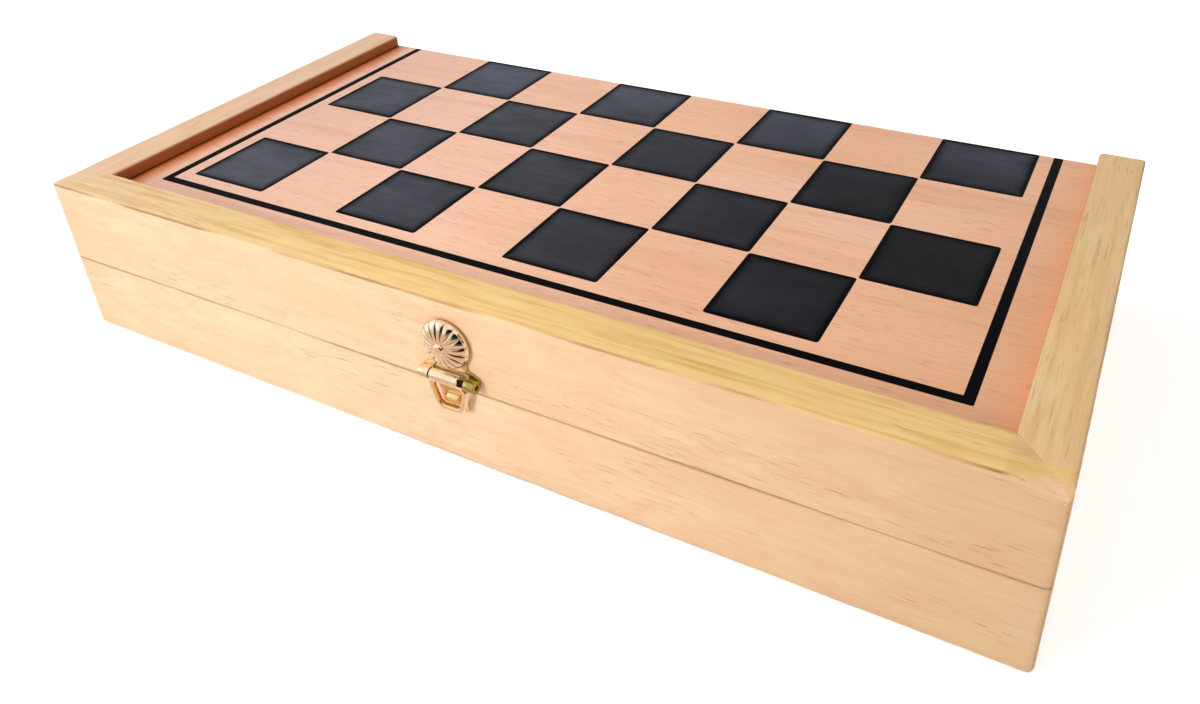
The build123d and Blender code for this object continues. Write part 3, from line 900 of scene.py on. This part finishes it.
board_print("lid_board_print", "lid", 0, high("lid_panel").z, 1)
board_print("base_board_print", "base", 1, low("base_panel").z, -1)


# Latch

rosette_low, rosette_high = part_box("latch_rosette")
ROSETTE_RADIUS = (rosette_high.z - rosette_low.z) / 2
ROSETTE_HEIGHT = rosette_high.y - rosette_low.y
rosette_centre = Vector(
    ((rosette_low.x + rosette_high.x) / 2, rosette_high.y, (rosette_low.z + rosette_high.z) / 2)
)


def out_of_front(place):
    """A matrix whose local Z points out of the box's front at a place."""
    return Matrix.Translation(place) @ Matrix.Rotation(math.radians(90), 4, "X")


def rosette(matrix):
    """A pressed dome with a raised petal between each two flutes."""
    bm = bmesh.new()
    hollow = bm.verts.layers.float.new("hollow")
    around = PETALS * PETAL_STEPS
    angles = [2 * math.pi * j / around for j in range(around)]
    tip = bm.verts.new(matrix @ Vector((0, 0, ROSETTE_HEIGHT)))
    rows = []
    for i in range(1, ROSETTE_RINGS + 1):
        share = i / ROSETTE_RINGS
        dome = SKIRT + (ROSETTE_HEIGHT - SKIRT) * (1 - share**2) ** DOME_FULLNESS
        row = []
        for angle in angles:
            swell = abs(math.cos(PETALS * angle / 2)) ** PETAL_FULLNESS
            radius = ROSETTE_RADIUS * share * (1 - EDGE_SCALLOP * (1 - swell) * share**3)
            reach = max(0.0, (radius - CROWN_RADIUS) / (ROSETTE_RADIUS - CROWN_RADIUS))
            flute = (1 - swell) * min(1.0, FLUTE_ONSET * reach) * (1 - FLUTE_FADE * reach**4)
            rise = dome - FLUTE_DEPTH * flute
            vert = bm.verts.new(matrix @ on_ring(radius, angle, rise))
            vert[hollow] = FLUTE_TONE * flute
            row.append(vert)
        rows.append(row)
    foot = [
        bm.verts.new(matrix @ on_ring(ROSETTE_RADIUS * SKIRT_FOOT, angle, 0)) for angle in angles
    ]
    for j in range(around):
        bm.faces.new((tip, rows[0][j], rows[0][(j + 1) % around]))
    rows.append(foot)
    for a, b in zip(rows, rows[1:]):
        bridge(bm, a, b)
    bm.faces.new(foot)
    finish_mesh(bm, "rosette_dome", "lid", rosette_brass, ("latch_rosette",), 50)


def rosette_boss(matrix):
    """The nail through the dome's middle, with its domed head."""
    stem = [(BOSS_STEM, BOSS_STEM_LOW), (BOSS_STEM, ROSETTE_HEIGHT + BOSS_HEAD[0][1] * MM)]
    head = head_profile(BOSS_RADIUS, ROSETTE_HEIGHT, BOSS_HEAD)
    boss = lathe(stem + head, BOSS_SEGMENTS, matrix)
    finish_mesh(boss, "rosette_boss", "lid", latch_brass, ("rosette_nail",), 60)


rosette(out_of_front(rosette_centre))
rosette_boss(out_of_front(rosette_centre))

dress("latch_plate", plate_brass, 0.22 * MM, segments=3, angle=30)
dress("catch", catch_brass, 0.18 * MM, segments=3, angle=30)
dress("latch_pin", pin_brass, 0.12 * MM)


def rounded_outline(half):
    """A closed outline, the same on both sides, with as many points on every side and corner."""
    corners = half + [(-x, z, radius) for x, z, radius in half[::-1]]
    arcs = []
    count = len(corners)
    for i in range(count):
        radius = corners[i][2]
        before, corner, after = (Vector(corners[(i + k) % count][:2]) for k in (-1, 0, 1))
        back, ahead = (before - corner).normalized(), (after - corner).normalized()
        half_angle = back.angle(ahead) / 2
        reach = radius / math.tan(half_angle)
        centre = corner + (back + ahead).normalized() * (radius / math.sin(half_angle))
        first, last = corner + back * reach - centre, corner + ahead * reach - centre
        shares = [k / HASP_ARC_STEPS for k in range(HASP_ARC_STEPS + 1)]
        arcs.append([centre + first.lerp(last, share).normalized() * radius for share in shares])
    points = []
    for i, made in enumerate(arcs):
        following = arcs[(i + 1) % count][0]
        points += made
        points += [
            made[-1].lerp(following, k / HASP_SIDE_STEPS) for k in range(1, HASP_SIDE_STEPS)
        ]
    return points


def hasp():
    """The hasp: a rolled barrel, and below it a stirrup with a rounded front and a deep back."""
    bm = bmesh.new()
    hollow = bm.verts.layers.float.new("hollow")
    rows = []
    for a, b in zip(rounded_outline(scaled(HASP_OUTER)), rounded_outline(scaled(HASP_WINDOW))):
        row = []
        for k in range(HASP_ACROSS + 1):
            angle = math.pi * k / HASP_ACROSS
            swing = math.cos(angle)
            side = math.copysign(abs(swing) ** HASP_ACROSS_FULLNESS, swing)
            mid = (a + b) / 2 + (a - b) / 2 * side
            rise = math.sin(angle) ** HASP_FRONT_FULLNESS
            row.append((mid.x, HASP_SIDE + (HASP_FRONT - HASP_SIDE) * rise, mid.y))
        row += [(b.x, HASP_BACK, b.y), (a.x, HASP_BACK, a.y)]
        rows.append(
            [bm.verts.new((HASP_MIDDLE + x, FRONT - out, MIDDLE + z)) for x, out, z in row]
        )
        for k, tone in HASP_HOLLOW:
            rows[-1][k][hollow] = tone
    for a, b in zip(rows, rows[1:] + rows[:1]):
        bridge(bm, a, b)
    start = low("latch_hasp").x
    span = HASP_MIDDLE + BARREL_END - start
    end_radius = BARREL_RADIUS - BARREL_ROUND
    profile = [
        (BARREL_BORE, 0.0),
        (end_radius, 0.0),
        (BARREL_RADIUS, BARREL_ROUND),
        (BARREL_RADIUS, span - BARREL_ROUND),
        (end_radius, span),
        (BARREL_BORE, span),
    ]
    place = Matrix.Translation((start, FRONT - BARREL_OUT, MIDDLE + BARREL_RISE))
    lathe(profile, BARREL_SEGMENTS, place @ Matrix.Rotation(math.radians(90), 4, "Y"), bm)
    finish_mesh(bm, "hasp_loop", "hasp", latch_brass, ("latch_hasp",), 40)


hasp()


def catch_nails():
    """Two domed nail heads, on the catch's plate."""
    lo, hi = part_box("catch_nails")
    stem = [(NAIL_STEM, -NAIL_LENGTH), (NAIL_STEM, 0)]
    profile = stem + head_profile(NAIL_RADIUS, 0, NAIL_HEAD)
    bm = bmesh.new()
    for x in (lo.x + NAIL_RADIUS, hi.x - NAIL_RADIUS):
        lathe(profile, NAIL_SEGMENTS, out_of_front((x, lo.y + NAIL_RISE, (lo.z + hi.z) / 2)), bm)
    finish_mesh(bm, "catch_nail_heads", "base", catch_brass, ("catch_nails",), 60)


catch_nails()


# Hinges

for side in ("left", "right"):
    for half in ("base", "lid"):
        dress(f"{side}_hinge_{half}_leaf", hinge_brass, 0.15 * MM, angle=30)
    dress(f"{side}_hinge_pin", hinge_brass, 0.12 * MM)


def screw_mesh(place):
    """A countersunk screw with a driver slot, its head's flat at a place."""
    profile = [
        (SCREW_SHANK, -SCREW_LENGTH),
        (SCREW_SHANK, -SCREW_SINK),
        (SCREW_HEAD * 0.97, -SCREW_EDGE),
        (SCREW_HEAD * 0.94, 0),
    ]
    head = lathe(profile, SCREW_SEGMENTS)

    def flat_faces():
        return [f for f in head.faces if f.calc_center_median().z > NEARLY_FLUSH]

    for offset in (-SCREW_SLOT / 2, SCREW_SLOT / 2):
        top = flat_faces()
        edges = list({e for f in top for e in f.edges})
        verts = list({v for f in top for v in f.verts})
        bmesh.ops.bisect_plane(
            head, geom=top + edges + verts, plane_co=(0, offset, 0), plane_no=(0, 1, 0)
        )
    slot = [f for f in flat_faces() if abs(f.calc_center_median().y) < SCREW_SLOT / 2]
    draw_out(head, slot, (0, 0, -SLOT_DEPTH))
    bmesh.ops.delete(head, geom=slot, context="FACES")
    head.transform(place)
    mesh = bpy.data.meshes.new("screw")
    head.to_mesh(mesh)
    head.free()
    return mesh


def hinge_screws(node, name, body, up):
    """Four countersunk heads with driver slots, flush in the hinge leaves."""
    lo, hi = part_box(node)
    spans = []
    for x in sorted(v.co.x for v in nodes[node].data.vertices):
        if not spans or x - spans[-1][0] > 2.5 * SCREW_HEAD:
            spans.append([x, x])
        spans[-1][1] = x
    flip = Matrix.Identity(4) if up > 0 else Matrix.Rotation(math.pi, 4, "X")
    bm = bmesh.new()
    for index, (a, b) in enumerate(spans):
        centre = Vector(((a + b) / 2, (lo.y + hi.y) / 2, hi.z if up > 0 else lo.z))
        turn = Matrix.Rotation(math.radians(SLOT_TURN + SLOT_TURN_STEP * index), 4, "Z")
        screw = screw_mesh(Matrix.Translation(centre) @ flip @ turn)
        bm.from_mesh(screw)
        bpy.data.meshes.remove(screw)
    finish_mesh(bm, name, body, hinge_brass, (node,))


hinge_screws("base_hinge_screws", "base_screw_heads", "base", 1)
hinge_screws("lid_hinge_screws", "lid_screw_heads", "lid", -1)


# Chessmen. Tables are in millimetres, and their pairs are (rise, radius) if nothing else is said

FOOT_RISE = 3.0 * MM
PROFILE_STEPS = 3
MAN_SEGMENTS = 40
PAWN_HEIGHT = 36
PAWN_HEAD = 6.0
KNIGHT_HEIGHT = 46 * MM
KNIGHT_THICK = 4.4 * MM
CROSS_FOOT = 57 * MM
CROSS_THICK = 2.0 * MM
CROSS_ROUND = 0.35 * MM
# Half width, half height and middle's rise of the cross's upright and of its arms
CROSS_BARS = ((1.1, 4.0, 4.0), (3.0, 1.1, 4.8))

# Foot, neck and collar radius and the collar's rise, then the pairs above the collar
TURNED = {
    "pawn": (
        (10, 3.4, 6.0, 0.56 * PAWN_HEIGHT),
        [
            (
                PAWN_HEIGHT - PAWN_HEAD + PAWN_HEAD * math.sin(math.radians(a)),
                PAWN_HEAD * math.cos(math.radians(a)),
            )
            for a in (-55, -35, -15, 5, 25, 45, 65, 80)
        ]
        + [(PAWN_HEIGHT, 0)],
    ),
    "rook": (
        (11.5, 5.2, 7.2, 24),
        [
            (28, 5.2), (32, 5.6), (33.6, 7.4), (34.2, 8.0), (39.6, 8.0), (40, 7.6), (40, 6.0),
            (37.4, 5.6), (37.4, 0),
        ],
    ),
    "bishop": (
        (11.5, 3.8, 6.8, 29),
        [
            (32.0, 4.4), (34, 4.2), (36.5, 5.2), (39, 5.8), (42, 5.2), (45, 3.2), (46.6, 1.5),
            (47.6, 1.7), (48.6, 2.0), (49.6, 1.3), (50, 0),
        ],
    ),
    "queen": (
        (12.5, 4.2, 8.2, 36),
        [
            (39.6, 4.9), (43, 4.6), (49, 5.4), (53, 6.6), (55, 7.4), (55.4, 6.8), (54.6, 4.6),
            (56.4, 3.4), (57.6, 2.0), (58.4, 2.2), (59.2, 2.0), (60, 0),
        ],
    ),
    "king": (
        (12.5, 4.4, 8.4, 37.7),
        [
            (41, 5.0), (45, 5.0), (50, 6.2), (54.4, 8.0), (55.2, 7.4), (56.2, 4.6), (57, 2.6),
            (57.3, 0),
        ],
    ),
}
KNIGHT_FOOT = (
    (0.0, 10.8), (0.25, 11.4), (1.5, 11.5), (3.0, 11.4), (4.0, 10.2), (6.0, 8.8), (8.6, 7.9),
    (11.4, 7.8), (12.0, 7.2), (12.0, 0.0),
)
# The knight's side outline as (forward, rise) in shares of its height
KNIGHT_OUTLINE = (
    (-0.125, 0.235), (-0.183, 0.36), (-0.183, 0.48), (-0.176, 0.60), (-0.161, 0.70),
    (-0.115, 0.81), (-0.074, 0.87), (-0.013, 0.99), (0.020, 0.91), (0.060, 0.88), (0.113, 0.84),
    (0.165, 0.76), (0.213, 0.68), (0.208, 0.62), (0.165, 0.59), (0.110, 0.61), (0.052, 0.63),
    (0.045, 0.57), (0.065, 0.52), (0.110, 0.45), (0.135, 0.38), (0.135, 0.235),
)
# Across the knight: how far to the side, and how much of the outline's size is left there
KNIGHT_LAYERS = ((-1, 0.80), (-0.8, 0.93), (-0.45, 0.99), (0.45, 0.99), (0.8, 0.93), (1, 0.80))
# How many a side has, the CAD man's foot radius, and where its upper parts touch the floor
MEN = {
    "king": (1, 12.5, ((38.5, 8.4), (54.4, 8.0))),
    "queen": (1, 12.5, ((36.8, 8.2), (55.0, 7.4))),
    "bishop": (2, 11.5, ((29.8, 6.8), (39.0, 5.8))),
    "knight": (2, 11.5, ((12.0, 7.8), (46.0, 4.5))),
    "rook": (2, 11.5, ((24.8, 7.2), (34.0, 8.0), (40, 8.0))),
    "pawn": (8, 10.0, ((20.96, 6.0), (30.0, 6.0))),
}


def smooth_profile(points):
    """A profile through (rise, radius) points, rounded between them by a Catmull-Rom curve."""
    def between(a, b, c, d, t):
        square = (2 * a - 5 * b + 4 * c - d) * t * t
        return 0.5 * (2 * b + (c - a) * t + square + (3 * b - a - 3 * c + d) * t**3)

    made = []
    padded = [points[0]] + points + [points[-1]]
    for four in zip(padded, padded[1:], padded[2:], padded[3:]):
        for i in range(PROFILE_STEPS):
            made.append([between(*values, i / PROFILE_STEPS) for values in zip(*four)])
    made.append(points[-1])
    return [(max(0.0, radius), rise) for rise, radius in made]


def foot_profile(foot, neck, collar, collar_rise):
    """A turned man's foot with its bead, its stem and its collar."""
    waist = foot * 0.66
    return [
        (0.0, foot * 0.94),
        (0.25 * MM, foot * 0.99),
        (FOOT_RISE * 0.5, foot),
        (FOOT_RISE, foot * 0.985),
        (FOOT_RISE + 0.9 * MM, foot * 0.87),
        (FOOT_RISE + 1.6 * MM, foot * 0.80),
        (FOOT_RISE + 3.2 * MM, waist),
        (collar_rise * 0.62, (neck + waist) / 2 * 0.86),
        (collar_rise * 0.86, neck * 1.02),
        (collar_rise, neck),
        (collar_rise + 0.7 * MM, collar * 0.94),
        (collar_rise + 1.0 * MM, collar),
        (collar_rise + 1.4 * MM, collar * 0.9),
    ]


def king_cross(bm):
    """The cross on the king's head."""
    for half_width, half_height, rise in CROSS_BARS:
        verts = bmesh.ops.create_cube(bm, size=1.0)["verts"]
        size = (2 * half_width * MM, CROSS_THICK, 2 * half_height * MM)
        bmesh.ops.scale(bm, verts=verts, vec=size)
        bmesh.ops.translate(bm, verts=verts, vec=(0, 0, CROSS_FOOT + rise * MM))
        edges = list({e for v in verts for e in v.link_edges})
        bmesh.ops.bevel(
            bm, geom=edges, offset=CROSS_ROUND, segments=2, affect="EDGES", profile=0.5
        )


def knight_head(bm):
    """The knight's neck and head: its side outline drawn out to a rounded body."""
    middle = 0.55
    neck_top = 0.3
    muzzle = 0.213
    ears = 0.8
    rows = []
    for side, inset in KNIGHT_LAYERS:
        row = []
        for x, z in KNIGHT_OUTLINE:
            rise = middle + (z - middle) * (inset if z > neck_top else 1.0)
            thin = 0.28 * max(0.0, x) / muzzle + 0.25 * max(0.0, z - ears)
            out = side * KNIGHT_THICK * (1.0 - thin)
            row.append(bm.verts.new((x * inset * KNIGHT_HEIGHT, out, rise * KNIGHT_HEIGHT)))
        rows.append(row)
    for a, b in zip(rows, rows[1:]):
        bridge(bm, a, b)
    bm.faces.new(rows[0])
    bm.faces.new(rows[-1][::-1])


def man_shape(kind):
    """A man's shape, upright on its foot."""
    if kind == "knight":
        profile = scaled(KNIGHT_FOOT)
    else:
        foot, head = TURNED[kind]
        profile = foot_profile(*(value * MM for value in foot)) + scaled(head)
    bm = lathe(smooth_profile(profile), MAN_SEGMENTS)
    if kind == "knight":
        knight_head(bm)
    if kind == "king":
        king_cross(bm)
    return bm


def lying_matrix(node, foot, touching):
    """Where a lying man's foot is and how far it tips, from its CAD node's box."""
    lo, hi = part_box(node)
    tilt = min(math.atan2(foot - radius, rise - FOOT_RISE) for rise, radius in touching)
    rise = lo.z + FOOT_RISE * math.sin(tilt) + foot * math.cos(tilt)
    place = Matrix.Translation(((lo.x + hi.x) / 2, lo.y + foot * math.sin(tilt), rise))
    return place @ Matrix.Rotation(-math.pi / 2 - tilt, 4, "X")


for kind, (count, foot, touching) in MEN.items():
    mesh = mesh_of(man_shape(kind), kind, 40)
    for side, material in (("light", light_wood), ("dark", dark_wood)):
        own = mesh.copy()
        own.materials.append(material)
        for number in range(1, count + 1):
            node = f"{side}_{kind}_{number}"
            man = new_object(node + "_turned", own)
            man.matrix_world = lying_matrix(node, foot * MM, scaled(touching))
            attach(man, "base")
            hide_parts(node)


# Stage

def white_floor():
    """A white floor that keeps the soft shadow, and adds white for what the lens sees directly."""
    material, tree, shader = new_material(
        "white_floor", {"Base Color": (0.8, 0.8, 0.8, 1), "Roughness": 0.9}
    )
    seen = add_node(tree, "ShaderNodeLightPath").outputs["Is Camera Ray"]
    glow = add_node(tree, "ShaderNodeEmission", {"Strength": times(tree, seen, FLOOR_GLOW)})
    both = add_node(tree, "ShaderNodeAddShader", {0: shader.outputs[0], 1: glow.outputs[0]})
    tree.links.new(both.outputs[0], tree.nodes["Material Output"].inputs["Surface"])
    return material


bpy.ops.mesh.primitive_plane_add(size=FLOOR_SIZE, location=(0, 0, -FLOOR_DROP))
floor = bpy.context.object
floor.name = "floor"
floor.data.materials.append(white_floor())

# White where it is seen, in metal too, and dimmer as a light
world = scene.world or bpy.data.worlds.new("studio")
scene.world = world
world.use_nodes = True
sky = world.node_tree
sky.nodes.clear()
path = add_node(sky, "ShaderNodeLightPath")
seen = math_node(sky, "MAXIMUM", path.outputs["Is Camera Ray"], path.outputs["Is Glossy Ray"])
seen = math_node(sky, "MAXIMUM", seen, path.outputs["Is Transmission Ray"])
level = spread(sky, seen, 0.0, 1.0, AMBIENT, 1.0)
backdrop = add_node(sky, "ShaderNodeBackground", {"Color": (1, 1, 1, 1), "Strength": level})
add_node(sky, "ShaderNodeOutputWorld", {"Surface": backdrop.outputs[0]})


def aim(thing, place, target, axis):
    """The thing moved to a place, with its axis towards a target."""
    thing.location = place
    thing.rotation_euler = (Vector(target) - Vector(place)).to_track_quat(axis, "Y").to_euler()


def area_light(name, place, target, size, power):
    lamp = bpy.data.lights.new(name, "AREA")
    lamp.shape = "DISK"
    lamp.size = size
    lamp.energy = power
    made = new_object(name, lamp)
    aim(made, place, target, "-Z")
    made.visible_glossy = False


area_light("front_lamp", (-0.106, -0.449, 0.20), (0.0, -0.05, 0.03), 0.16, 0.97)
area_light("left_lamp", (-0.68, -0.085, 0.989), (0.0, 0.0, 0.05), 0.30, 7.6)
area_light("right_fill", (0.95, -0.15, 0.30), (0.1, 0.0, 0.03), 0.6, 1.7)


def mirror_card(name, tone, radius, place, target):
    """A card that only polished metal reflects, as it does a photographer or a table."""
    material, tree, shader = new_material(name)
    tree.nodes.remove(shader)
    glow = add_node(tree, "ShaderNodeEmission", {"Color": (*tone, 1)})
    tree.links.new(glow.outputs[0], tree.nodes["Material Output"].inputs["Surface"])
    bpy.ops.mesh.primitive_circle_add(radius=radius, fill_type="NGON")
    card = bpy.context.object
    card.name = name
    aim(card, place, target, "Z")
    card.data.materials.append(material)
    card.visible_camera = False
    card.visible_diffuse = False
    card.visible_transmission = False
    card.visible_shadow = False


mirror_card("dark_card", (0.012, 0.004, 0.003), 0.31, (0.175, -0.549, 0.10), BUTTON_PLACE)
mirror_card("dark_side", (0.05, 0.022, 0.012), 0.30, (0.66, -0.16, 0.30), BUTTON_PLACE)
mirror_card("table_card", (0.80, 0.56, 0.44), 0.27, (-0.02, -0.37, 0.001), (-0.02, -0.37, 1.0))
mirror_card("dark_floor", (0.03, 0.012, 0.008), 0.15, (0.13, -0.35, 0.002), (0.13, -0.35, 1.0))
mirror_card("white_card", (1.7, 1.7, 1.7), 0.22, (-0.52, -0.36, 0.16), BUTTON_PLACE)

camera = new_object("camera", bpy.data.cameras.new("camera"))
forward = Vector(CAMERA_FORWARD).normalized()
right = Vector(CAMERA_RIGHT).normalized()
up = right.cross(forward)
camera.matrix_world = Matrix.Translation(CAMERA_PLACE) @ Matrix(
    (right, up, -forward)
).transposed().to_4x4()
camera.data.sensor_width = SENSOR_WIDTH
camera.data.lens = SENSOR_WIDTH * FOCAL_PIXELS / PHOTO_WIDTH
camera.data.shift_x = (PHOTO_WIDTH / 2 - PRINCIPAL_X) / PHOTO_WIDTH
camera.data.shift_y = (PRINCIPAL_Y - PHOTO_HEIGHT / 2) / PHOTO_WIDTH
camera.data.clip_start = CAMERA_NEAR
scene.camera = camera

scene.view_settings.view_transform = "Standard"
